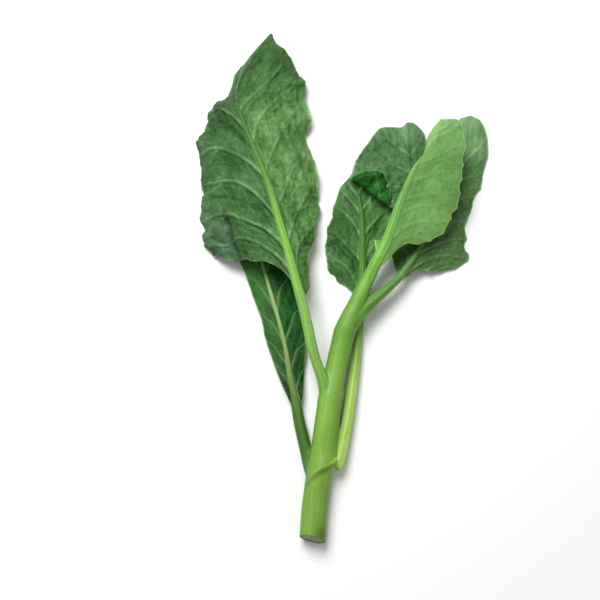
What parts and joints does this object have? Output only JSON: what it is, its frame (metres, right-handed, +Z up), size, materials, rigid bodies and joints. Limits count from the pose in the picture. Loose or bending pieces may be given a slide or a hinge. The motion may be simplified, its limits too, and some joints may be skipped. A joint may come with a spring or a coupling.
{
  "type": "chinese broccoli stalk",
  "caption": "Cut stalk of a leafy green vegetable, lying down: a smooth fleshy stem with long-stalked broad leaves that have waved edges and raised pale ribs.",
  "frame": {"origin": "middle of the small flat spot under the stem, near the cut end, on the surface that the stalk lies on", "axes": "+Y along the stalk from the cut end to the leaf tips, +Z up from the surface, +X to the right seen from above with the tips at the top"},
  "size_m": [0.1837, 0.3177, 0.0381],
  "materials": {
    "stem_green": "smooth light green plant skin with a dull waxy sheen",
    "leaf_green": "dull blue-green leaf, waxy, paler below than above"
  },
  "bodies": {
    "root": {"stem": "stem_green", "leaf_1_rib": "stem_green", "leaf_1_blade": "leaf_green", "leaf_2_rib": "stem_green", "leaf_2_blade": "leaf_green", "leaf_3_rib": "stem_green", "leaf_3_blade": "leaf_green", "leaf_4_rib": "stem_green", "leaf_4_blade": "leaf_green", "leaf_5_rib": "stem_green", "leaf_5_blade": "leaf_green", "leaf_6_rib": "stem_green", "leaf_6_blade": "leaf_green"}
  },
  "joints": []
}
